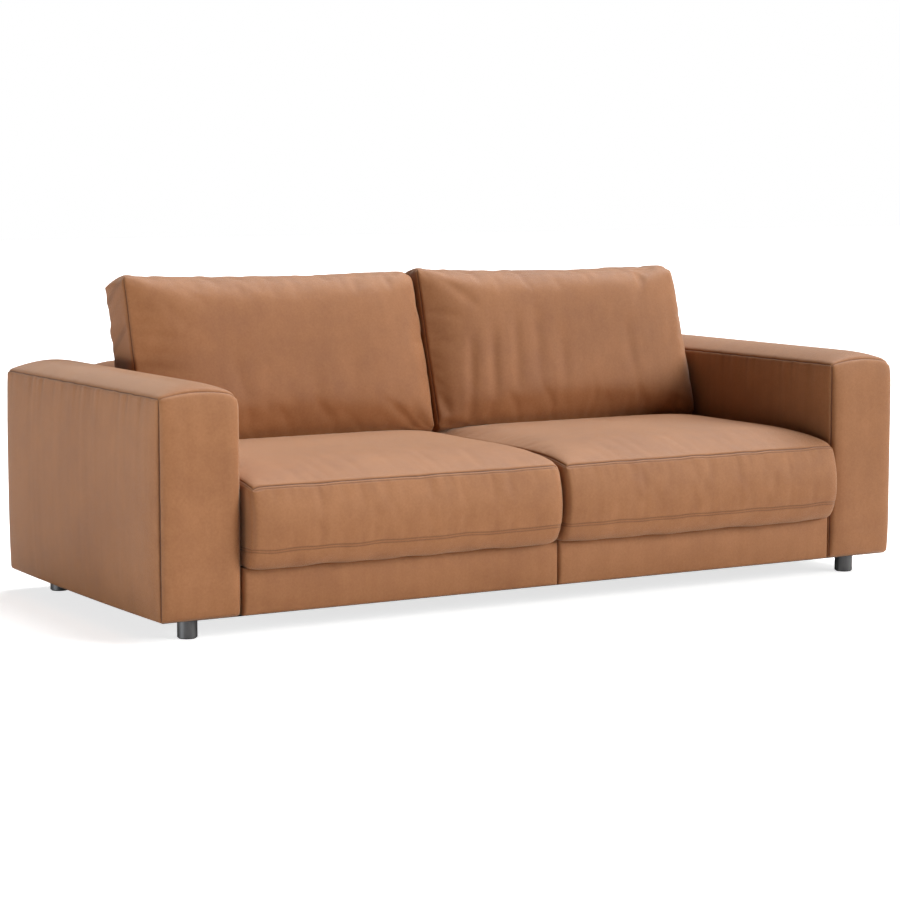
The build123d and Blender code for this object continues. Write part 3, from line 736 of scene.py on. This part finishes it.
def build_back_cushion(side):
    node_low, node_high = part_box(f"{side}_back_cushion_cover")
    low = Vector((node_low.x, 0, 0))
    high = Vector((node_high.x, cushion_depth, cushion_height))
    cuts = edge_cuts(low, high, (3 * mm, 8 * mm))
    piece = block(f"{side}_back_cushion_leather", low, high, 12 * mm, cuts)
    laid = read_laid(piece)
    points = laid.copy()
    along = span_share(laid[:, 0], low.x, high.x)
    through = span_share(laid[:, 1], low.y, high.y)
    up = span_share(laid[:, 2], low.z, high.z)
    crest_corner = np.where(along > 0, 40 * mm, 24 * mm)
    points = round_corners(points, low, high, (0, 2), np.where(up > 0, crest_corner, 14 * mm))
    face_roll = np.where(up > 0, 28 * mm, 42 * mm)
    points = round_corners(points, low, high, (1, 2), np.where(through < 0, face_roll, 12 * mm))
    rolled = (through < 0) & (along > 0)
    points = round_corners(points, low, high, (0, 1), np.where(rolled, 26 * mm, 11 * mm))
    forward = (high.y - laid[:, 1]) / (high.y - low.y)
    rise = (laid[:, 2] - low.z) / (high.z - low.z)
    full = bow(np.abs(along) ** 2.6) * bow(np.abs(up) ** 2.4)
    points[:, 1] -= front_crown * full * forward**2
    points[:, 1] += rear_crown * full * (1 - forward) ** 2
    points[:, 2] += top_crown * bow(through) * rise**6 * bow(np.abs(along) ** 6)
    belly = np.where(along > 0, 11 * mm, 4 * mm)
    points[:, 0] += belly * np.sign(along) * np.abs(along) ** 6 * bow(up)
    points[:, 2] -= top_sag * bow(along) * rise**4
    ear = np.exp(-((np.hypot(laid[:, 0] - low.x, laid[:, 2] - high.z) / (46 * mm)) ** 2))
    points[:, 2] += ear_rise * ear
    points[:, 0] -= 3 * mm * ear
    blunt = np.exp(-((np.hypot(laid[:, 0] - high.x, laid[:, 2] - high.z) / (60 * mm)) ** 2))
    points[:, 2] += blunt_rise * blunt
    seed = 71 if side == "left" else 83
    crest = rise**10
    behind = smooth_step((through + 0.7) / 1.2)
    points[:, 2] += crest_waves * gathers(laid[:, 0], seed, (0.041, 0.067, 0.12)) * crest * behind
    shifts = gathers(laid[:, 0], seed + 1, (0.043, 0.071, 0.13))
    points[:, 1] += 2.6 * mm * shifts * crest * behind
    flank = np.abs(along) ** 30
    lumps = boxing_lumps * gathers(laid[:, 2], seed + 2, boxing_waves) * behind
    points[:, 0] += lumps * np.sign(along) * flank
    drop = high.z - laid[:, 2]
    pull = np.exp(-drop / (45 * mm)) * smooth_step(drop / (12 * mm))
    face = smooth_step((forward - 0.95) / 0.05)
    puckers = gathers(laid[:, 0], seed + 3, (0.034, 0.055, 0.09))
    points[:, 1] += 1.8 * mm * puckers * pull * face
    folds = fold_depth(laid[:, 0] - low.x, laid[:, 2], cushion_folds[side])
    points[:, 1] += fold_scale[side] * folds * face
    write_points(piece, lean_back(points))
    edges = edge_gaps(laid, low, high)
    rim = np.hypot(np.minimum(edges[0], edges[2]), laid[:, 1] - high.y)
    rim = np.minimum(rim, np.hypot(laid[:, 0] - low.x, laid[:, 1] - low.y))
    held = np.where((rim < 10 * mm) | (laid[:, 2] < low.z + 1 * mm), 1.0, 0.0)
    stuff(piece, held, slack=cushion_slack[side], pressure=4, cap=12 * mm)
    points = read_points(piece)
    room_left, room_right = cushion_room[side]
    points[:, 0] = np.clip(points[:, 0], low.x - room_left, high.x + room_right)
    write_points(piece, points)
    smooth_finish(piece)
    laid = read_laid(piece)
    edges = edge_gaps(laid, low, high)
    front_seam = np.hypot(laid[:, 0] - low.x, laid[:, 1] - low.y)
    press_seam(piece, front_seam, 2.2 * mm, 2.4 * mm)
    rear_seam = np.hypot(np.minimum(edges[0], edges[2]), laid[:, 1] - high.y)
    press_seam(piece, rear_seam, 3.0 * mm, 3.0 * mm)
    # Painted shade in slanting bands over the left-hand boxing panel, where its puckers would be shaded.
    on_boxing = smooth_step((laid[:, 1] - low.y) / (30 * mm)) * (laid[:, 0] - low.x < 1 * mm)
    pucker_shade = gathers(laid[:, 2] + 0.4 * laid[:, 1], seed + 2, boxing_waves)
    mark_dips(piece, 0.4 * on_boxing * np.clip(pucker_shade, 0, 1))
    keep_above(piece, seats[side], 1.0 * mm)
    return piece


back_cushions = {side: build_back_cushion(side) for side in ("left", "right")}
for side, piece in back_cushions.items():
    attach(piece, f"{side}_back_cushion")
    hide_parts(f"{side}_back_cushion_cover")
    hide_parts(f"{side}_back_cushion_core")
print("back cushions:", [len(piece.data.polygons) for piece in back_cushions.values()], "faces")

# %% [markdown]
# ## Stitching
# The seat cases are topstitched: one row under the top seam and a double row above the lip. One stitch is
# modelled as a small six-sided rod with pinched ends, and copied along each row. The row's points are
# read from the finished leather, which still knows where they lay before it was shaped.


# %% One stitch
thread_radius = 0.55 * mm
stitch_length = 3.2 * mm
stitch_tip = 0.7 * mm
stitch_pitch = 6.2 * mm
stitch_lift = 0.25 * mm  # how far the thread stands proud of the leather

bpy.ops.object.select_all(action="DESELECT")
bpy.ops.mesh.primitive_cylinder_add(
    vertices=6, radius=thread_radius, depth=stitch_length, rotation=(0, math.pi / 2, 0)
)
stitch = bpy.context.object
bpy.ops.object.transform_apply(location=True, rotation=True, scale=True)
bpy.ops.object.mode_set(mode="EDIT")
for end in (-1, 1):
    bpy.ops.mesh.select_mode(type="FACE")
    bpy.ops.mesh.select_all(action="DESELECT")
    bpy.ops.object.mode_set(mode="OBJECT")
    for face in stitch.data.polygons:
        face.select = face.center.x * end > 1.5 * mm
    bpy.ops.object.mode_set(mode="EDIT")
    shift = (end * stitch_tip, 0, -stitch_tip / 2)
    bpy.ops.mesh.extrude_region_move(TRANSFORM_OT_translate={"value": shift})
    bpy.ops.transform.resize(value=(1, 0.45, 0.45))
bpy.ops.object.mode_set(mode="OBJECT")
stitch_points = read_points(stitch)
stitch_faces = [tuple(face.vertices) for face in stitch.data.polygons]
bpy.data.objects.remove(stitch)
print("stitch:", len(stitch_faces), "faces")


# %% Rows of stitches
def row_path(piece, low, height):
    """Points of the front wall that lay at one height, from left to right, with their normals."""
    laid = read_laid(piece)
    front = np.abs(laid[:, 1] - low.y) < 0.2 * mm
    chosen = np.nonzero(front & (np.abs(laid[:, 2] - height) < 0.2 * mm))[0]
    chosen = chosen[np.argsort(laid[chosen, 0])]
    return read_points(piece)[chosen], read_normals(piece)[chosen]


def sew_rows(name, piece, low, heights):
    """One mesh with a stitch at every pitch along the rows at those heights."""
    points, faces = [], []
    for height in heights:
        path, normals = row_path(piece, low, height)
        length = np.concatenate([[0], np.cumsum(np.linalg.norm(np.diff(path, axis=0), axis=1))])
        for place in np.arange(30 * mm, length[-1] - 30 * mm, stitch_pitch):
            spot = np.array([np.interp(place, length, path[:, a]) for a in range(3)])
            ahead = np.array([np.interp(place + 2 * mm, length, path[:, a]) for a in range(3)])
            out = np.array([np.interp(place, length, normals[:, a]) for a in range(3)])
            run = (ahead - spot) / np.linalg.norm(ahead - spot)
            out = out - run * out.dot(run)
            out = out / np.linalg.norm(out)
            turn = np.array([run, np.cross(out, run), out])
            first = len(points)
            points.extend(spot + out * stitch_lift + stitch_points @ turn)
            faces.extend(tuple(first + corner for corner in face) for face in stitch_faces)
    mesh = bpy.data.meshes.new(name)
    mesh.from_pydata([tuple(point) for point in points], [], faces)
    rows = bpy.data.objects.new(name, mesh)
    bpy.context.scene.collection.objects.link(rows)
    pick(rows)
    bpy.ops.object.shade_smooth()
    return rows


stitching = {}
for side, piece in seats.items():
    rows = sew_rows(f"{side}_seat_stitching", piece, seat_low, stitch_rows)
    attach(rows, f"{side}_seat_cushion")
    stitching[side] = rows
print("stitching:", [len(rows.data.polygons) for rows in stitching.values()], "faces")

# %% [markdown]
# ## Shader sums
# A finish is a chain of small sums. This class wraps one socket, so that a sum reads like Python: each
# sign adds a Math node. The method node adds any other kind of node, sets it up, and feeds its sockets.


# %% Shader class
class Wire:
    def __init__(self, tree, socket):
        self.tree = tree
        self.socket = socket

    def node(self, kind, settings, feeds, output=0):
        made = self.tree.nodes.new(kind)
        for key, value in settings.items():
            if key == "stops":
                ramp = made.color_ramp.elements
                while len(ramp) < len(value):
                    ramp.new(0.5)
                for stop, (place, colour) in zip(ramp, value):
                    stop.position = place
                    stop.color = colour
            else:
                setattr(made, key, value)
        for key, value in feeds.items():
            if isinstance(value, Wire):
                self.tree.links.new(value.socket, made.inputs[key])
            else:
                made.inputs[key].default_value = value
        return Wire(self.tree, made.outputs[output])

    def sum(self, operation, first, second):
        return self.node("ShaderNodeMath", {"operation": operation}, {0: first, 1: second})

    def __add__(self, other):
        return self.sum("ADD", self, other)

    __radd__ = __add__

    def __sub__(self, other):
        return self.sum("SUBTRACT", self, other)

    def __mul__(self, other):
        return self.sum("MULTIPLY", self, other)

    __rmul__ = __mul__


def start_finish(name):
    """A new material with one shader. Returns it, the shader and the object's own coordinates."""
    finish = bpy.data.materials.new(name)
    finish.use_nodes = True
    tree = finish.node_tree
    shader = tree.nodes["Principled BSDF"]
    place = tree.nodes.new("ShaderNodeTexCoord")
    return finish, shader, Wire(tree, place.outputs["Object"])


def feed(shader, name, wire):
    wire.tree.links.new(wire.socket, shader.inputs[name])


def noise(place, scale, detail=3.0):
    feeds = {"Vector": place, "Scale": scale, "Detail": detail, "Roughness": 0.55}
    return place.node("ShaderNodeTexNoise", {"noise_dimensions": "3D"}, feeds)


def bands(place, direction, scale, distortion=0.0):
    feeds = {"Vector": place, "Scale": scale, "Distortion": distortion}
    return place.node("ShaderNodeTexWave", {"bands_direction": direction}, feeds)


def stretched(place, scale):
    return place.node("ShaderNodeMapping", {}, {"Vector": place, "Scale": scale})


def blend_colours(share, first, second):
    settings = {"data_type": "RGBA", "blend_type": "MIX"}
    return share.node("ShaderNodeMix", settings, {0: share, 6: first, 7: second}, 2)


def ramp(share, *stops):
    solid = [(place, (*colour, 1)) for place, colour in stops]
    return share.node("ShaderNodeValToRGB", {"stops": solid}, {"Fac": share})


def bump(shader, height, distance, strength):
    feeds = {"Height": height, "Distance": distance, "Strength": strength}
    feed(shader, "Normal", height.node("ShaderNodeBump", {}, feeds))


# %% [markdown]
# ## Leather
# Soft aniline leather has a fine pebble grain, cloudy colour from the dye, and faint upright streaks where
# the hide was brushed. A little sheen lifts it where the light grazes it. The seam attribute darkens the
# seams, partly as their own colour and partly as painted shade, and paints shade into the dips between
# gathers.


# %% Leather finish
def leather_finish():
    finish, shader, place = start_finish("tan_leather")
    cloud = noise(place, 4.0, 4.0)
    blotch = noise(place, 17.0, 4.0)
    streak = noise(stretched(place, (36.0, 36.0, 3.0)), 1.0, 2.0)
    fleck = noise(place, 170.0, 3.0)
    tone = 0.32 * cloud + 0.28 * blotch + 0.14 * streak + 0.26 * fleck
    dye = ramp(
        tone,
        (0.34, (0.290, 0.115, 0.043)),
        (0.50, (0.350, 0.147, 0.057)),
        (0.66, (0.410, 0.180, 0.074)),
    )
    # Dark seam colour: the seams' own darker tone, plus painted shade in the seams and in the gather dips.
    seam = place.node("ShaderNodeAttribute", {"attribute_name": "seam"}, {}, 2)
    dipped = blend_colours(seam * 0.9, dye, (0.060, 0.018, 0.007, 1))
    feed(shader, "Base Color", dipped)
    feed(shader, "Roughness", 0.46 + 0.16 * blotch + 0.06 * fleck)
    shader.inputs["Specular IOR Level"].default_value = 0.30
    shader.inputs["Sheen Weight"].default_value = 0.30
    shader.inputs["Sheen Roughness"].default_value = 0.40
    shader.inputs["Sheen Tint"].default_value = (1.0, 0.92, 0.80, 1)
    pebble = place.node(
        "ShaderNodeTexVoronoi",
        {"feature": "DISTANCE_TO_EDGE"},
        {"Vector": place, "Scale": 620.0, "Randomness": 1.0},
    )
    pores = noise(place, 1500.0, 2.0)
    grain = place.node("ShaderNodeMath", {"operation": "MINIMUM"}, {0: pebble * 6.0, 1: 1.0})
    bump(shader, grain * 0.7 + pores * 0.3 + streak * 0.15, 0.00035, 0.55)
    return finish


def thread_finish():
    finish, shader, place = start_finish("thread")
    twist = bands(place, "DIAGONAL", 900.0)
    dye = ramp(twist, (0.2, (0.150, 0.056, 0.020)), (0.8, (0.270, 0.110, 0.043)))
    feed(shader, "Base Color", dye)
    feed(shader, "Roughness", 0.55 + 0.2 * twist)
    bump(shader, twist, 0.0001, 0.5)
    return finish


leather = leather_finish()
thread = thread_finish()
for rows in stitching.values():
    rows.data.materials.append(thread)
cushions = (*seats.values(), *back_cushions.values())
for piece in (left_arm, right_arm, fixed_back, *borders.values(), *cushions):
    piece.data.materials.clear()
    piece.data.materials.append(leather)
print("leather:", len(leather.node_tree.nodes), "nodes")

# %% [markdown]
# ## The other finishes
# Every piece that stays as it was built gets a finish too, seen or not: satin grey metal on the legs, steel
# fasteners, pine and plywood in the frame, foam, webbing, felt on the deck, black cloth underneath and
# plastic glides.


# %% Plain finishes
def metal_finish(name, colour, roughness, brush):
    finish, shader, place = start_finish(name)
    lines = noise(stretched(place, brush), 1.0, 3.0)
    grime = noise(place, 60.0, 4.0)
    shade = lines * 0.6 + grime * 0.4
    darker = [0.78 * part for part in colour]
    feed(shader, "Base Color", ramp(shade, (0.3, darker), (0.7, colour)))
    feed(shader, "Roughness", roughness + 0.12 * lines + 0.08 * grime)
    shader.inputs["Metallic"].default_value = 0.85
    bump(shader, lines, 0.00008, 0.4)
    return finish


def wood_finish(name, light, dark, rings):
    finish, shader, place = start_finish(name)
    bent = noise(stretched(place, (1.6, 9.0, 9.0)), 1.0, 3.0)
    band = place.node("ShaderNodeMath", {"operation": "SINE"}, {0: bent * rings})
    fibre = noise(stretched(place, (14.0, 420.0, 420.0)), 1.0, 3.0)
    share = 0.5 + 0.3 * band + 0.5 * (fibre - 0.5)
    feed(shader, "Base Color", ramp(share, (0.15, dark), (0.85, light)))
    feed(shader, "Roughness", 0.62 + 0.2 * fibre)
    bump(shader, fibre, 0.0003, 0.4)
    return finish


def cloth_finish(name, light, dark, weave, depth):
    finish, shader, place = start_finish(name)
    across = bands(place, "X", weave, 0.6)
    along = bands(place, "Y", weave, 0.6)
    threads = place.node("ShaderNodeMath", {"operation": "MAXIMUM"}, {0: across, 1: along})
    wear = noise(place, 35.0, 4.0)
    feed(shader, "Base Color", ramp(0.6 * threads + 0.4 * wear, (0.2, dark), (0.8, light)))
    feed(shader, "Roughness", 0.8 + 0.15 * wear)
    bump(shader, threads, depth, 0.6)
    return finish


def foam_finish(name, light, dark):
    finish, shader, place = start_finish(name)
    cells = place.node("ShaderNodeTexVoronoi", {"feature": "F1"}, {"Vector": place, "Scale": 520.0})
    age = noise(place, 9.0, 4.0)
    feed(shader, "Base Color", ramp(0.7 * age + 0.3 * cells, (0.25, dark), (0.75, light)))
    feed(shader, "Roughness", 0.85 + 0.1 * age)
    bump(shader, cells, 0.0006, 0.7)
    return finish


def plastic_finish(name, colour):
    finish, shader, place = start_finish(name)
    scuff = noise(place, 240.0, 4.0)
    paler = [1.6 * part + 0.01 for part in colour]
    feed(shader, "Base Color", ramp(scuff, (0.4, colour), (0.8, paler)))
    feed(shader, "Roughness", 0.5 + 0.25 * scuff)
    bump(shader, scuff, 0.0001, 0.4)
    return finish


black = (0.035, 0.035, 0.036)
finishes = {
    "tan_leather": leather,
    "grey_metal": metal_finish("grey_metal", (0.168, 0.168, 0.171), 0.34, (900.0, 900.0, 30.0)),
    "steel": metal_finish("steel", (0.55, 0.55, 0.56), 0.30, (60.0, 900.0, 900.0)),
    "frame_wood": wood_finish("frame_wood", (0.60, 0.42, 0.24), (0.38, 0.23, 0.11), 26.0),
    "plywood": wood_finish("plywood", (0.68, 0.52, 0.33), (0.50, 0.35, 0.20), 12.0),
    "foam": foam_finish("foam", (0.84, 0.79, 0.62), (0.72, 0.64, 0.44)),
    "webbing": cloth_finish("webbing", (0.14, 0.11, 0.09), (0.04, 0.03, 0.025), 260.0, 0.0004),
    "deck_felt": cloth_finish("deck_felt", (0.22, 0.15, 0.10), (0.10, 0.06, 0.04), 700.0, 0.0003),
    "dust_cloth": cloth_finish("dust_cloth", black, (0.014, 0.014, 0.015), 900.0, 0.0002),
    "glide_plastic": plastic_finish("glide_plastic", black),
}
slots = {row["node"]: row["material_slot"] for row in frame["record"]["subparts"]}
for node, carried in frame["nodes"].items():
    for index in range(max(1, len(carried.material_slots))):
        if not carried.material_slots:
            carried.data.materials.append(finishes[slots[node]])
        carried.material_slots[index].material = finishes[slots[node]]
print("finishes:", sorted(finishes))

# %% [markdown]
# ## A white studio
# The picture is a product shot: white floor, white air, a broad soft key from the right, another from
# above, a low cool fill on the left, and a shallow shadow under the sofa. The floor is pale, and for the
# camera it glows just enough to reach white where nothing shades it. The air is white for the camera,
# half as bright in reflections, and dim as a light.

# %% Floor
bpy.ops.object.select_all(action="DESELECT")
bpy.ops.mesh.primitive_plane_add(size=60, location=(0, 0, 0))
floor = bpy.context.object
floor.name = "studio_floor"
floor_finish, floor_shader, floor_place = start_finish("studio_floor")
floor_shader.inputs["Base Color"].default_value = (0.86, 0.86, 0.87, 1)
floor_shader.inputs["Roughness"].default_value = 0.9
floor_shader.inputs["Specular IOR Level"].default_value = 0.0
floor_glow = 0.74  # for the camera alone
camera_rays = floor_place.node("ShaderNodeLightPath", {}, {}, "Is Camera Ray")
feed(floor_shader, "Emission Strength", camera_rays * floor_glow)
floor_shader.inputs["Emission Color"].default_value = (1, 1, 1, 1)
floor.data.materials.append(floor_finish)
floor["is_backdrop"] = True
print("floor:", floor.name)

# %% White air
world = bpy.data.worlds.new("studio_air")
bpy.context.scene.world = world
world.use_nodes = True
air = world.node_tree.nodes["Background"]
seen = world.node_tree.nodes.new("ShaderNodeLightPath")
straight = Wire(world.node_tree, seen.outputs["Is Camera Ray"])
mirrored = Wire(world.node_tree, seen.outputs["Is Glossy Ray"])
through_glass = Wire(world.node_tree, seen.outputs["Is Transmission Ray"])
shown = straight.node("ShaderNodeMath", {"operation": "MAXIMUM"}, {0: straight, 1: through_glass})
air_light = 0.03  # as a light
air_mirrored = 0.5  # in reflections
reflected = mirrored * air_mirrored
wide_open = straight.node("ShaderNodeMath", {"operation": "MAXIMUM"}, {0: shown, 1: reflected})
feed(air, "Strength", air_light + (1 - air_light) * wide_open)
air.inputs["Color"].default_value = (1, 1, 1, 1)
print("air light", air_light)


# %% Lamps
def soft_lamp(name, place, target, size, power, colour=(1, 1, 1)):
    bpy.ops.object.light_add(type="AREA", location=place)
    lamp = bpy.context.object
    lamp.name = name
    lamp.data.shape = "RECTANGLE"
    lamp.data.size, lamp.data.size_y = size
    lamp.data.energy = power
    lamp.data.color = colour
    lamp.rotation_euler = (Vector(target) - Vector(place)).to_track_quat("-Z", "Y").to_euler()
    return lamp


def broad_sun(name, source, strength, spread, colour=(1, 1, 1)):
    """Even light from far away, softened over an angle, so that all the floor is lit alike."""
    bpy.ops.object.light_add(type="SUN", location=source)
    sun = bpy.context.object
    sun.name = name
    sun.data.energy = strength
    sun.data.angle = math.radians(spread)
    sun.data.color = colour
    sun.rotation_euler = (-Vector(source)).to_track_quat("-Z", "Y").to_euler()
    return sun


broad_sun("key", (2.9, -2.9, 1.75), 2.3, 28, (1.0, 0.985, 0.95))
broad_sun("top", (2.2, 0.8, 4.0), 3.3, 44)
soft_lamp("fill", (-4.6, -0.4, 0.36), (-1.1, 0.0, 0.36), (2.6, 0.6), 54, (0.94, 0.97, 1.0))

# %% [markdown]
# ## The camera
# The photograph looks at the sofa from the front left, from about chest height and quite far away, with a
# long lens. Place, turn and focal length were found from the sofa's own corners.

# %% Camera
camera_place = (-3.621, -6.038, 1.155)
camera_dip = 6.39  # degrees below the horizon
camera_turn = 30.62  # degrees to the right of straight back

bpy.ops.object.camera_add(location=camera_place)
camera = bpy.context.object
camera.data.lens = 102.52
camera.data.sensor_width = 36
camera.rotation_euler = (math.radians(90 - camera_dip), 0, math.radians(-camera_turn))
camera.data.clip_end = 200
bpy.context.scene.camera = camera
bpy.context.scene.view_settings.view_transform = "Standard"
print("camera lens", camera.data.lens, "mm")

# %% [markdown]
# The dressed sofa has to fill the same box as the frame, give or take the softness of leather. The frame's
# box was printed at the start, and here the growth of the dressed box beyond it is printed.

# %% Boxes
bpy.context.view_layer.update()
seen_low, seen_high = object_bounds()
grown = (seen_high - seen_low) - (cad_high - cad_low)
print("grown by (mm)", [round(1000 * side, 1) for side in grown])
